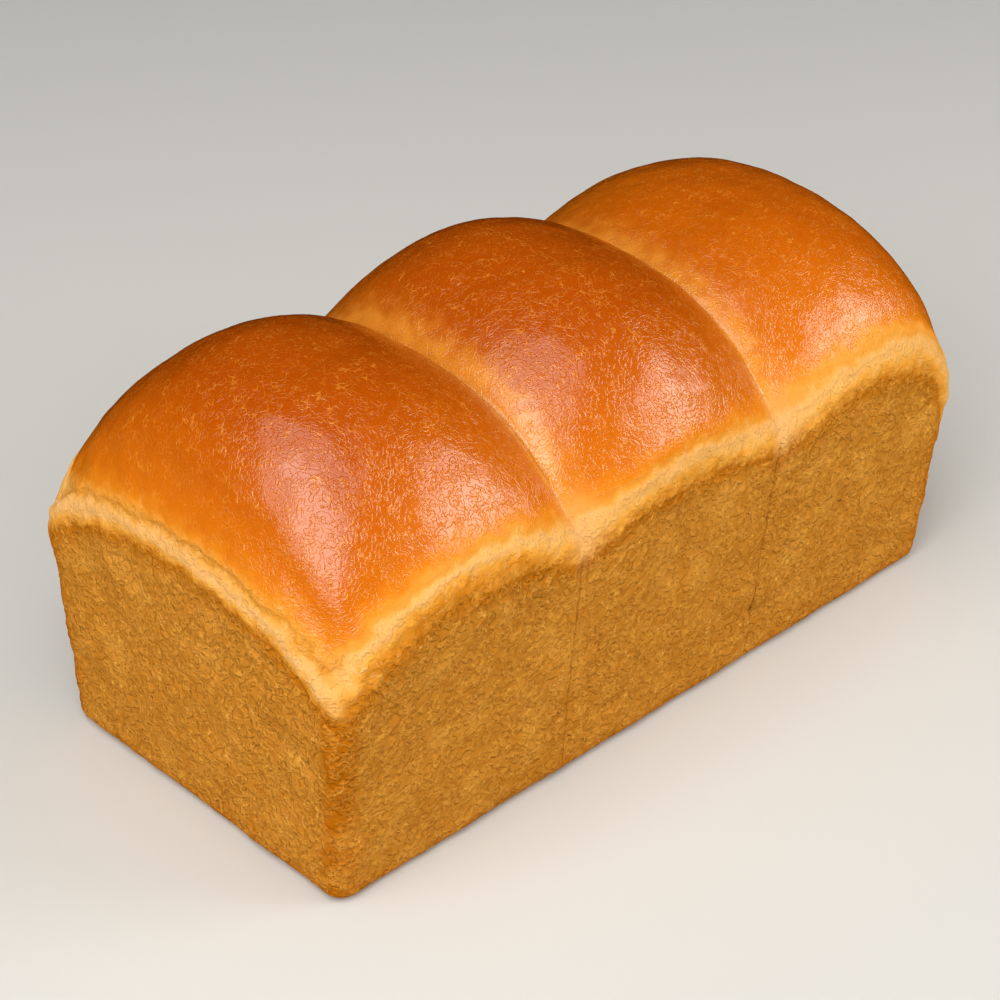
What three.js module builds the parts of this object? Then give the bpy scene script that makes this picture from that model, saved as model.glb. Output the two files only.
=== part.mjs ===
// A three-humped milk loaf baked in an open loaf tin, modelled as one solid crust.
//
// Millimetres, +Z up. The loaf stands on its flat base, with the origin at the middle of the
// base, its long side along X and its short side along Y.
//
// The solid is the smooth overlap of two bodies: the flared block of the tin, which shapes the
// four walls and the base, and the risen crown, whose three humps meet in two creases. Where
// the crown leaves the tin, a soft lip of pale crust runs all the way round the shoulder.

import * as THREE from "three";

// The tin: its inside at the base, the outward lean of its walls and its rounded edges.
const BASE_LENGTH = 200;
const BASE_WIDTH = 93.4;
const END_FLARE = 0.06;               // outward lean of the end walls, mm per mm of height
const SIDE_FLARE = 0.067;             // outward lean of the long walls, mm per mm of height
const UPRIGHT_EDGE_RADIUS = 5;
const BASE_EDGE_RADIUS = 3.6;

// The crown: a rounded block, given by its half sizes and by how full each profile is. A
// fullness of 2 makes an ellipse, and a higher one is squarer. Towards its top the crown turns
// rounder than at its foot, where the tin still shapes it. Its four corners are filled out at the
// foot and fall away at the top.
const CROWN_FOOT = 48.2;              // height at which the crown is widest
const CROWN_RISE = 57.1;
const HEIGHT_FULLNESS = 1.43;
const ALONG = { foot: 107.6, top: 112.1, footFullness: 9.9, topFullness: 9.3 };
const ACROSS = { foot: 57, top: 60.8, footFullness: 4.7, topFullness: 2.7 };
const CORNER_FILL = { amount: 0.95, fullness: 2.3 };
const CORNER_FALL = { amount: 0.23, along: 2.6, across: 1.55 };
const ROUNDING_SHARES = [0.05, 0.9];  // shares of the rise over which it turns rounder
const SHOULDER_BLEND = 4.7;           // size of the smooth change from wall to crown

// The humps: three balls of dough that meet in two creases, which lean above the core line.
const CREASES = [
  { x: -31.8, lean: -0.015, depth: 15.6 },
  { x: 32.1, lean: 0.067, depth: 16 },
];
const CREASE_DEPTH_AT_WALL = 1.7;
const DEEPENING_SHARES = [0.09, 0.7]; // shares of the rise over which the creases deepen
const END_REACH = 109.6;              // where the outer humps' rounding would end
const HUMP_FULLNESS = 1.7;
const TURN_REACH = 21.4;              // distance from a crease over which a hump turns in

// Each hump's swell over the plain crown at its foot, halfway up and at its top, and how much
// of its fall towards a crease is a tight turn rather than a broad slope.
const HUMPS = [
  { foot: 1.1, middle: -1.3, top: 2.1, turn: 0.52 },
  { foot: -4.6, middle: -2.1, top: 1, turn: 0.43 },
  { foot: -2.1, middle: -2.5, top: -7.1, turn: 0.17 },
];

// The lip along the shoulder and the hollow just above it, which is sharper at the ends than
// along the sides. Their places are leads: how much further a point is from the crown than
// from the tin, which is nought on the shoulder.
const END_FOLDS = [
  { height: 1.1, lead: 0.6, spread: 1.7 },
  { height: -0.7, lead: 5, spread: 2.2 },
];
const SIDE_FOLDS = [
  { height: 0.7, lead: 1.2, spread: 2.6 },
  { height: -0.25, lead: 6.5, spread: 2.2 },
];
const CORNER_BAND = 6;                // how far from a corner the folds of end and side mix

// The seam that carries on down the long walls below each crease.
const SEAM_DEPTH = 0.6;
const SEAM_SPREAD = 1.1;
const SEAM_FADE = 8;                  // height over which it fades out towards the base

// The facets are cast outwards from a core line, in columns and rows.
const CORE_HEIGHT = 40;
const CORE_INSET = 45;                // how far the core line stops short of the end walls
const COLUMNS_PER_HUMP = 16;
const COLUMNS_ACROSS = 24;
const COLUMN_CROWDING = 0.6;          // how strongly columns crowd to creases and walls
const BASE_ROW_SHARES = [0.29, 1];    // rows on the base's rounded edge, shares of its radius
const WALL_ROW_SHARES = [0.2, 0.4, 0.58, 0.74, 0.86, 0.93, 0.97];
const SHOULDER_RANGE = [30, 85];      // heights between which the shoulder lies
const CAST_RANGE = [5, 150];          // distances from the core between which the crust lies
const HALVINGS = 36;

const CRUST_COLOUR = 0xc8701e;
const CRUST_ROUGHNESS = 0.5;

const TINY = 1e-9;                    // keeps a share off nought
const LEAST_SLOPE = 1e-3;

const clamp = (value, low, high) => Math.min(Math.max(value, low), high);
const mix = (from, to, share) => from + (to - from) * share;
const bell = (offset, spread) => Math.exp(-((offset / spread) ** 2));

function smoothstep(start, end, value) {
  const share = clamp((value - start) / (end - start), 0, 1);
  return share * share * (3 - 2 * share);
}

// The place between two ends where a rising measure passes nought.
function findZero(low, high, measure) {
  let below = low;
  let above = high;
  for (let step = 0; step < HALVINGS; step += 1) {
    const middle = (below + above) / 2;
    if (measure(middle) < 0) {
      below = middle;
    } else {
      above = middle;
    }
  }
  return (below + above) / 2;
}

// Half length and half width of the tin at a height.
function tinHalfSize(z) {
  return { x: BASE_LENGTH / 2 + END_FLARE * z, y: BASE_WIDTH / 2 + SIDE_FLARE * z };
}

// Signed distance from an edge rounded by a radius, given the distances from its two sides.
function roundedEdge(first, second, radius) {
  const a = first + radius;
  const b = second + radius;
  const outside = Math.hypot(Math.max(a, 0), Math.max(b, 0));
  return outside + Math.min(Math.max(a, b), 0) - radius;
}

// Signed distance from the block of the tin, which is endless upwards.
function tinDistance(x, y, z) {
  const half = tinHalfSize(z);
  const walls = roundedEdge(Math.abs(x) - half.x, Math.abs(y) - half.y, UPRIGHT_EDGE_RADIUS);
  return roundedEdge(walls, -z, BASE_EDGE_RADIUS);
}

// The places of the two creases along X at a height.
function creasePlaces(z) {
  return CREASES.map((crease) => crease.x + crease.lean * Math.max(z - CORE_HEIGHT, 0));
}

// Which hump a point is on, and how far it is on the way from that hump's middle to a crease.
function humpPlace(x, z) {
  const [first, second] = creasePlaces(z);
  if (x < first) {
    const middle = (first - END_REACH) / 2;
    return { hump: 0, share: clamp((x - middle) / (first - middle), 0, 1) };
  }
  if (x < second) {
    const middle = (first + second) / 2;
    return { hump: 1, share: Math.abs(x - middle) / (second - middle) };
  }
  const middle = (second + END_REACH) / 2;
  return { hump: 2, share: clamp((middle - x) / (middle - second), 0, 1) };
}

// The crown's profile along or across the loaf: a point's share of the half size, the profile's
// term, and the slope of that term.
function profileTerm(distance, profile, rounding) {
  const halfSize = mix(profile.foot, profile.top, rounding);
  const fullness = mix(profile.footFullness, profile.topFullness, rounding);
  const share = distance / halfSize + TINY;
  const value = share ** fullness;
  return { share, value, slope: (fullness * value) / (share * halfSize), halfSize };
}

// Signed distance from the crown before its humps are shaped.
function plainCrownDistance(x, y, z) {
  const above = Math.max(z - CROWN_FOOT, 0) / CROWN_RISE + TINY;
  const rounding = smoothstep(...ROUNDING_SHARES, above);
  const along = profileTerm(Math.abs(x), ALONG, rounding);
  const across = profileTerm(Math.abs(y), ACROSS, rounding);
  const up = above ** HEIGHT_FULLNESS;
  const cornerShare = along.share ** CORNER_FALL.along * across.share ** CORNER_FALL.across;
  const corner = CORNER_FALL.amount * rounding * cornerShare;
  const fillShare = CORNER_FILL.amount * (1 - rounding) * along.value ** (CORNER_FILL.fullness - 1);
  const fill = fillShare * along.value * across.value;
  const slope = Math.hypot(
    along.slope * (1 - CORNER_FILL.fullness * fillShare * across.value)
      + (CORNER_FALL.along * corner) / (along.share * along.halfSize),
    across.slope * (1 - fillShare * along.value)
      + (CORNER_FALL.across * corner) / (across.share * across.halfSize),
    (HEIGHT_FULLNESS * up) / (above * CROWN_RISE),
  );
  return (along.value + across.value + corner - fill + up - 1) / (slope + LEAST_SLOPE);
}

// How far a hump has turned in at a point: nought at the end of the turn, one in the crease.
function turnShare(x, z) {
  const offsets = creasePlaces(z).map((place) => Math.abs(x - place));
  const nearness = 1 - Math.min(Math.min(...offsets) / TURN_REACH, 1);
  return 1 - Math.sqrt(1 - nearness * nearness);
}

// A hump's swell over the plain crown at a share of the rise.
function humpSwell(hump, rise) {
  const { foot, middle, top } = HUMPS[hump];
  const low = foot * (1 - rise) * (1 - 2 * rise);
  const high = top * rise * (2 * rise - 1);
  return low + 4 * middle * rise * (1 - rise) + high;
}

// Depth of the nearer crease at a point, below the plain crown.
function creaseDepth(x, z, rise) {
  const [first, second] = creasePlaces(z);
  const nearer = x < (first + second) / 2 ? CREASES[0] : CREASES[1];
  return mix(CREASE_DEPTH_AT_WALL, nearer.depth, smoothstep(...DEEPENING_SHARES, rise));
}

// Signed distance from the crown with its humps and creases.
function crownDistance(x, y, z) {
  const { hump, share } = humpPlace(x, z);
  const rise = clamp((z - CROWN_FOOT) / CROWN_RISE, 0, 1);
  const slopeShare = share ** HUMP_FULLNESS;
  const fallShare = mix(slopeShare, turnShare(x, z), HUMPS[hump].turn);
  const fall = creaseDepth(x, z, rise) * fallShare;
  return plainCrownDistance(x, y, z) + fall - humpSwell(hump, rise) * (1 - slopeShare);
}

// How far a point lies towards the long sides: nought at the ends, one along the sides.
function sideShare(x, y, z) {
  const half = tinHalfSize(z);
  const fromEnd = half.x - Math.abs(x);
  const fromSide = half.y - Math.abs(y);
  return smoothstep(-CORNER_BAND, CORNER_BAND, fromEnd - fromSide);
}

// Height that the lip and its hollow add at a lead.
function shoulderRelief(lead, side) {
  const heightOf = (folds) => folds
    .map((fold) => fold.height * bell(lead - fold.lead, fold.spread))
    .reduce((sum, height) => sum + height, 0);
  return mix(heightOf(END_FOLDS), heightOf(SIDE_FOLDS), side);
}

// Depth of the seams in the long walls.
function seamDepth(x, z) {
  const seams = creasePlaces(z).map((place) => bell(x - place, SEAM_SPREAD));
  return SEAM_DEPTH * Math.max(...seams) * smoothstep(0, SEAM_FADE, z);
}

// Signed distance from the whole loaf.
function loafDistance(x, y, z) {
  const tin = tinDistance(x, y, z);
  const lead = crownDistance(x, y, z) - tin;
  const share = clamp(0.5 + (0.5 * lead) / SHOULDER_BLEND, 0, 1);
  const body = tin + lead * share + SHOULDER_BLEND * share * (1 - share);
  return body - shoulderRelief(lead, sideShare(x, y, z)) + seamDepth(x, z) * (1 - share);
}

// Shares from 0 to 1 that crowd towards both ends.
function crowdedShares(count) {
  return Array.from({ length: count + 1 }, (_, index) => {
    const even = index / count;
    return mix(even, (1 - Math.cos(Math.PI * even)) / 2, COLUMN_CROWDING);
  });
}

const COLUMN_SHARES = crowdedShares(COLUMNS_PER_HUMP);
const ACROSS_SHARES = crowdedShares(COLUMNS_ACROSS);
const COLUMNS_ALONG = COLUMNS_PER_HUMP * (CREASES.length + 1);

// Place of a column along X, between the ends and the creases given as knots.
function placeBetween(knots, column) {
  const hump = Math.min(Math.floor(column / COLUMNS_PER_HUMP), CREASES.length);
  return mix(knots[hump], knots[hump + 1], COLUMN_SHARES[column - hump * COLUMNS_PER_HUMP]);
}

// Place of a column and a row in the tin's round-cornered outline at a height, drawn in from
// the outline by an inset.
function gridPlace(column, row, z, inset = 0) {
  const half = tinHalfSize(z);
  const x = placeBetween([-half.x, ...creasePlaces(z), half.x], column);
  const place = new THREE.Vector2(x, mix(-half.y, half.y, ACROSS_SHARES[row]));
  const flat = new THREE.Vector2(half.x, half.y).subScalar(UPRIGHT_EDGE_RADIUS);
  const centre = place.clone().clamp(flat.clone().negate(), flat);
  const arm = place.sub(centre);
  const reach = Math.max(Math.abs(arm.x), Math.abs(arm.y));
  return centre.add(arm.setLength(reach * (1 - inset / UPRIGHT_EDGE_RADIUS)));
}

// The crust where it is met by a ray from the core line through a target point.
function castToCrust(column, target) {
  const reach = tinHalfSize(CORE_HEIGHT).x - CORE_INSET;
  const coreX = placeBetween([-reach, ...creasePlaces(CORE_HEIGHT), reach], column);
  const core = new THREE.Vector3(coreX, 0, CORE_HEIGHT);
  const direction = target.clone().sub(core).normalize();
  const pointAt = (distance) => core.clone().addScaledVector(direction, distance);
  const distance = findZero(...CAST_RANGE, (reached) => {
    const point = pointAt(reached);
    return loafDistance(point.x, point.y, point.z);
  });
  return pointAt(distance);
}

// Height of the shoulder above a place on the edge of the grid.
function shoulderHeight(column, row) {
  return findZero(...SHOULDER_RANGE, (z) => {
    const place = gridPlace(column, row, z);
    return crownDistance(place.x, place.y, z);
  });
}

// A point of the flat base's outline, just inside the rounded edge.
function baseOutlinePoint(column, row) {
  const place = gridPlace(column, row, 0, BASE_EDGE_RADIUS);
  return new THREE.Vector3(place.x, place.y, 0);
}

// The grid's edge as column and row pairs, anticlockwise seen from above.
function gridEdge() {
  const edge = [];
  for (let column = 0; column < COLUMNS_ALONG; column += 1) {
    edge.push([column, 0]);
  }
  for (let row = 0; row < COLUMNS_ACROSS; row += 1) {
    edge.push([COLUMNS_ALONG, row]);
  }
  for (let column = COLUMNS_ALONG; column > 0; column -= 1) {
    edge.push([column, COLUMNS_ACROSS]);
  }
  for (let row = COLUMNS_ACROSS; row > 0; row -= 1) {
    edge.push([0, row]);
  }
  return edge;
}

// The crown's points, column by column, out to the shoulder.
function crownPoints() {
  const points = [];
  for (let column = 0; column <= COLUMNS_ALONG; column += 1) {
    for (let row = 0; row <= COLUMNS_ACROSS; row += 1) {
      const side = shoulderHeight(column, 0);
      const left = shoulderHeight(0, row) - shoulderHeight(0, 0);
      const right = shoulderHeight(COLUMNS_ALONG, row) - shoulderHeight(COLUMNS_ALONG, 0);
      const z = side + mix(left, right, column / COLUMNS_ALONG);
      const place = gridPlace(column, row, z);
      points.push(castToCrust(column, new THREE.Vector3(place.x, place.y, z)));
    }
  }
  return points;
}

// The walls' points below the shoulder, ring by ring from the base up.
function wallRings(edge) {
  const baseHeights = BASE_ROW_SHARES.map((share) => () => share * BASE_EDGE_RADIUS);
  const wallHeights = WALL_ROW_SHARES.map((share) => (top) => mix(BASE_EDGE_RADIUS, top, share));
  const rings = [...baseHeights, ...wallHeights].map((heightBelow) => edge.map(([column, row]) => {
    const z = heightBelow(shoulderHeight(column, row));
    const place = gridPlace(column, row, z);
    return castToCrust(column, new THREE.Vector3(place.x, place.y, z));
  }));
  return [edge.map(([column, row]) => baseOutlinePoint(column, row)), ...rings];
}

// The closed surface of the loaf.
function crustGeometry() {
  const edge = gridEdge();
  const crown = crownPoints();
  const rings = wallRings(edge);
  const points = [...crown, ...rings.flat(), new THREE.Vector3(0, 0, 0)];
  const crownIndex = (column, row) => column * (COLUMNS_ACROSS + 1) + row;
  const ringIndex = (ring, step) => {
    const place = step % edge.length;
    return ring < rings.length ? crown.length + ring * edge.length + place : crownIndex(...edge[place]);
  };
  const triangles = [];
  const addQuad = (a, b, c, d) => triangles.push(a, b, c, a, c, d);
  for (let column = 0; column < COLUMNS_ALONG; column += 1) {
    for (let row = 0; row < COLUMNS_ACROSS; row += 1) {
      const near = [crownIndex(column, row), crownIndex(column + 1, row)];
      const far = [crownIndex(column + 1, row + 1), crownIndex(column, row + 1)];
      addQuad(...near, ...far);
    }
  }
  for (let step = 0; step < edge.length; step += 1) {
    triangles.push(points.length - 1, ringIndex(0, step + 1), ringIndex(0, step));
    for (let ring = 0; ring < rings.length; ring += 1) {
      const low = [ringIndex(ring, step), ringIndex(ring, step + 1)];
      const high = [ringIndex(ring + 1, step + 1), ringIndex(ring + 1, step)];
      addQuad(...low, ...high);
    }
  }
  const geometry = new THREE.BufferGeometry().setFromPoints(points);
  geometry.setIndex(triangles);
  geometry.computeVertexNormals();
  return geometry;
}

const crust = new THREE.MeshStandardMaterial({
  color: CRUST_COLOUR,
  roughness: CRUST_ROUGHNESS,
  metalness: 0,
});

const loaf = new THREE.Mesh(crustGeometry(), crust);
loaf.name = "loaf";

const tinLoaf = new THREE.Group();
tinLoaf.add(loaf);

export default tinLoaf;
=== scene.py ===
"""Dresses the tin loaf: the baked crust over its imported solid, and the studio it stands in.

The loaf is built as a fine closed mesh from the same named sizes as its solid. Masks for the
lip, the creases and the browning are stored on the mesh, Geometry Nodes raise the relief of
the crust, and one material reads the masks. Sizes of the loaf are in millimetres until its
mesh is made, and those of the studio in metres.
"""

import logging
import math
from collections.abc import Callable
from dataclasses import dataclass, field, fields
from enum import Enum

import bpy
import numpy as np
from mathutils import Matrix, Vector


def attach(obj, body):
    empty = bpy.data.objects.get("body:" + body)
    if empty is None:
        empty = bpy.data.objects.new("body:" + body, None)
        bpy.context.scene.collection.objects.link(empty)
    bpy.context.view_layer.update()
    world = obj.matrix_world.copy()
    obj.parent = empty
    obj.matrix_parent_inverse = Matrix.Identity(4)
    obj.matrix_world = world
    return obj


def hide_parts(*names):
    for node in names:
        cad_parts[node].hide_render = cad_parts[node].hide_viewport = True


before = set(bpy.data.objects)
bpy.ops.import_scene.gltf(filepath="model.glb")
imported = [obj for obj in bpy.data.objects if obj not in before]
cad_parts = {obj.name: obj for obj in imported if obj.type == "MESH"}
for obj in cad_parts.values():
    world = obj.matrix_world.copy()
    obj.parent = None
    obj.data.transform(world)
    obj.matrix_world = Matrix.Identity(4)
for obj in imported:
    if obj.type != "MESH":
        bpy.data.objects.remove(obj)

Array = np.ndarray
Colour = tuple[float, float, float, float]
Triple = tuple[float, float, float]
Span = tuple[float, float]             # a start and an end, or a centre and a spread
Socket = bpy.types.NodeSocket
Feed = Socket | float                  # what may feed an input of a node

MM = 0.001                             # metres in a millimetre
TINY = 1e-9                            # keeps a quotient or a power of nought defined
LOG = logging.getLogger("tin_loaf")


def mix(start: Array | float, end: Array | float, share: Array | float) -> Array | float:
    """Value that lies a share of the way from start to end."""
    return start + (end - start) * share


def bell(offset: Array, spread: float) -> Array:
    """Bell curve that is 1 at no offset and falls off over the spread."""
    return np.exp(-((offset / spread) ** 2))


def smoothstep(start: float, end: float, value: Array) -> Array:
    """Soft step from 0 at start to 1 at end."""
    share = np.clip((value - start) / (end - start), 0.0, 1.0)
    return share * share * (3.0 - 2.0 * share)


def find_zero(low: Array, high: Array, measure: Callable[[Array], Array], halvings: int = 30) -> Array:
    """Places between two ends where a rising measure passes nought.

    Args:
        low: Ends at which the measure is below nought.
        high: Ends at which it is above.
        measure: Function of the places.
        halvings: Number of times that the span is halved.

    Returns:
        The places, one for each pair of ends.
    """
    below = low.copy()
    above = high.copy()
    for _ in range(halvings):
        middle = (below + above) / 2.0
        short = measure(middle) < 0.0
        below = np.where(short, middle, below)
        above = np.where(short, above, middle)
    return (below + above) / 2.0


def direction(azimuth: float, elevation: float) -> Vector:
    """Way towards an azimuth and an elevation, as seen from the loaf.

    Args:
        azimuth: Degrees round from -Y towards +X.
        elevation: Degrees up from the floor.

    Returns:
        A vector of length 1.
    """
    turn = math.radians(azimuth)
    lift = math.radians(elevation)
    level = math.cos(lift)
    return Vector((math.sin(turn) * level, -math.cos(turn) * level, math.sin(lift)))


def place_object(name: str, data: bpy.types.ID) -> bpy.types.Object:
    """Puts a mesh, a light or a camera into the scene.

    Args:
        name: Name of the object.
        data: What the object shows.

    Returns:
        The object.
    """
    placed = bpy.data.objects.new(name, data)
    bpy.context.scene.collection.objects.link(placed)
    return placed


@dataclass(frozen=True)
class TinBlock:
    """The flared block that the tin gives the loaf, endless upwards, in millimetres."""

    base_length: float = 200.0
    base_width: float = 93.4
    end_flare: float = 0.06
    side_flare: float = 0.067
    upright_radius: float = 5.0
    base_radius: float = 3.6

    def half_size(self, z: Array | float) -> tuple[Array, Array]:
        """Half length and half width at a height."""
        return self.base_length / 2.0 + self.end_flare * z, self.base_width / 2.0 + self.side_flare * z

    @staticmethod
    def rounded_edge(first: Array, second: Array, radius: float) -> Array:
        """Signed distance from two sides that meet in a rounded edge.

        Args:
            first: Distances from one side.
            second: Distances from the other side.
            radius: Radius of the edge.

        Returns:
            One distance for each point, negative inside.
        """
        a = first + radius
        b = second + radius
        outside = np.hypot(np.maximum(a, 0.0), np.maximum(b, 0.0))
        return outside + np.minimum(np.maximum(a, b), 0.0) - radius

    def distance(self, x: Array, y: Array, z: Array) -> Array:
        """Signed distance of points from the block.

        Args:
            x: Places along the loaf.
            y: Places across it.
            z: Heights.

        Returns:
            One distance for each point, negative inside.
        """
        half_x, half_y = self.half_size(z)
        walls = self.rounded_edge(np.abs(x) - half_x, np.abs(y) - half_y, self.upright_radius)
        return self.rounded_edge(walls, -z, self.base_radius)


@dataclass(frozen=True)
class Crease:
    """A crease between two humps: its place along the loaf, its lean and its depth at the top."""

    place: float
    lean: float
    depth: float


@dataclass(frozen=True)
class Hump:
    """A hump: its swell over the plain crown at three heights, and how tightly it turns in."""

    foot: float
    middle: float
    top: float
    turn: float


@dataclass(frozen=True)
class Profile:
    """The crown's profile along or across the loaf: half size and fullness, at foot and top."""

    foot: float
    top: float
    foot_fullness: float
    top_fullness: float

    def term(self, distance: Array, rounding: Array) -> tuple[Array, Array, Array]:
        """One profile's part in the plain crown.

        Args:
            distance: Distances of points from the loaf's middle.
            rounding: How far the crown has turned from its foot's form to its top's.

        Returns:
            The points' shares of the half size, the profile's term, and that term's slope.
        """
        half_size = mix(self.foot, self.top, rounding)
        fullness = mix(self.foot_fullness, self.top_fullness, rounding)
        share = distance / half_size + TINY
        value = share ** fullness
        return share, value, fullness * value / (share * half_size)


@dataclass(frozen=True)
class Crown:
    """The risen crown over the tin: a rounded block shaped into three humps, in millimetres."""

    foot: float = 48.2
    rise: float = 57.1
    height_fullness: float = 1.43
    along: Profile = Profile(107.6, 112.1, 9.9, 9.3)
    across: Profile = Profile(57.0, 60.8, 4.7, 2.7)
    corner_fill: float = 0.95
    fill_fullness: float = 2.3
    corner_fall: float = 0.23
    corner_along: float = 2.6
    corner_across: float = 1.55
    rounding_shares: Span = (0.05, 0.9)
    least_slope: float = 1e-3
    creases: tuple[Crease, ...] = (Crease(-31.8, -0.015, 15.6), Crease(32.1, 0.067, 16.0))
    crease_depth_at_wall: float = 1.7
    deepening_shares: Span = (0.09, 0.7)
    lean_start: float = 40.0
    end_reach: float = 109.6
    hump_fullness: float = 1.7
    turn_reach: float = 21.4
    humps: tuple[Hump, ...] = (
        Hump(1.1, -1.3, 2.1, 0.52),
        Hump(-4.6, -2.1, 1.0, 0.43),
        Hump(-2.1, -2.5, -7.1, 0.17),
    )

    def crease_places(self, z: Array | float) -> list[Array]:
        """Places of the creases along the loaf at a height."""
        above = np.maximum(np.asarray(z) - self.lean_start, 0.0)
        return [crease.place + crease.lean * above for crease in self.creases]

    def hump_share(self, x: Array, z: Array) -> tuple[Array, Array]:
        """How points lie on the humps.

        Args:
            x: Places along the loaf.
            z: Heights.

        Returns:
            The number of each point's hump, and its share of the way from that hump's middle
            to a crease.
        """
        first, second = self.crease_places(z)
        outer = (first - self.end_reach) / 2.0
        inner = (first + second) / 2.0
        far = (second + self.end_reach) / 2.0
        hump = np.where(x < first, 0, np.where(x < second, 1, 2))
        left = np.clip((x - outer) / (first - outer), 0.0, 1.0)
        middle = np.abs(x - inner) / (second - inner)
        right = np.clip((far - x) / (far - second), 0.0, 1.0)
        return hump, np.choose(hump, [left, middle, right])

    def turn_share(self, x: Array, z: Array) -> Array:
        """How far a hump has turned in towards a crease.

        Args:
            x: Places along the loaf.
            z: Heights.

        Returns:
            Nought at the end of the turn, one in the crease.
        """
        offsets = [np.abs(x - place) for place in self.crease_places(z)]
        nearness = 1.0 - np.minimum(np.min(offsets, axis=0) / self.turn_reach, 1.0)
        return 1.0 - np.sqrt(1.0 - nearness ** 2)

    def plain_distance(self, x: Array, y: Array, z: Array) -> Array:
        """Signed distance of points from the crown before its humps are shaped.

        Args:
            x: Places along the loaf.
            y: Places across it.
            z: Heights.

        Returns:
            One distance for each point, negative inside.
        """
        above = np.maximum(z - self.foot, 0.0) / self.rise + TINY
        rounding = smoothstep(*self.rounding_shares, above)
        along_share, along, along_slope = self.along.term(np.abs(x), rounding)
        across_share, across, across_slope = self.across.term(np.abs(y), rounding)
        up = above ** self.height_fullness
        up_slope = self.height_fullness * up / (above * self.rise)
        corner = along_share ** self.corner_along * across_share ** self.corner_across
        corner = corner * self.corner_fall * rounding
        fill_share = self.corner_fill * (1.0 - rounding) * along ** (self.fill_fullness - 1.0)
        fill = fill_share * along * across
        half_length = mix(self.along.foot, self.along.top, rounding)
        half_width = mix(self.across.foot, self.across.top, rounding)
        along_slope = along_slope * (1.0 - self.fill_fullness * fill_share * across)
        along_slope = along_slope + self.corner_along * corner / (along_share * half_length)
        across_slope = across_slope * (1.0 - fill_share * along)
        across_slope = across_slope + self.corner_across * corner / (across_share * half_width)
        slope = np.sqrt(along_slope ** 2 + across_slope ** 2 + up_slope ** 2) + self.least_slope
        return (along + across + corner - fill + up - 1.0) / slope

    def swell(self, hump: Array, rise: Array) -> Array:
        """Swell of the humps over the plain crown.

        Args:
            hump: Number of each point's hump.
            rise: Points' shares of the crown's rise.

        Returns:
            One height for each point.
        """
        foot = np.choose(hump, [each.foot for each in self.humps])
        middle = np.choose(hump, [each.middle for each in self.humps])
        top = np.choose(hump, [each.top for each in self.humps])
        low = foot * (1.0 - rise) * (1.0 - 2.0 * rise)
        return low + 4.0 * middle * rise * (1.0 - rise) + top * rise * (2.0 * rise - 1.0)

    def crease_depth(self, x: Array, z: Array, rise: Array) -> Array:
        """Depth of the nearer crease below the plain crown.

        Args:
            x: Places along the loaf.
            z: Heights.
            rise: Points' shares of the crown's rise.

        Returns:
            One depth for each point.
        """
        first, second = self.crease_places(z)
        deepest = np.where(x < (first + second) / 2.0, self.creases[0].depth, self.creases[1].depth)
        return mix(self.crease_depth_at_wall, deepest, smoothstep(*self.deepening_shares, rise))

    def distance(self, x: Array, y: Array, z: Array) -> Array:
        """Signed distance of points from the crown with its humps and creases.

        Args:
            x: Places along the loaf.
            y: Places across it.
            z: Heights.

        Returns:
            One distance for each point, negative inside.
        """
        hump, share = self.hump_share(x, z)
        rise = np.clip((z - self.foot) / self.rise, 0.0, 1.0)
        slope_share = share ** self.hump_fullness
        turn = np.choose(hump, [each.turn for each in self.humps])
        fall = self.crease_depth(x, z, rise) * mix(slope_share, self.turn_share(x, z), turn)
        return self.plain_distance(x, y, z) + fall - self.swell(hump, rise) * (1.0 - slope_share)


@dataclass(frozen=True)
class Fold:
    """A fold along the shoulder: its height, its place as a lead, and its spread."""

    height: float
    lead: float
    spread: float


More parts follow.
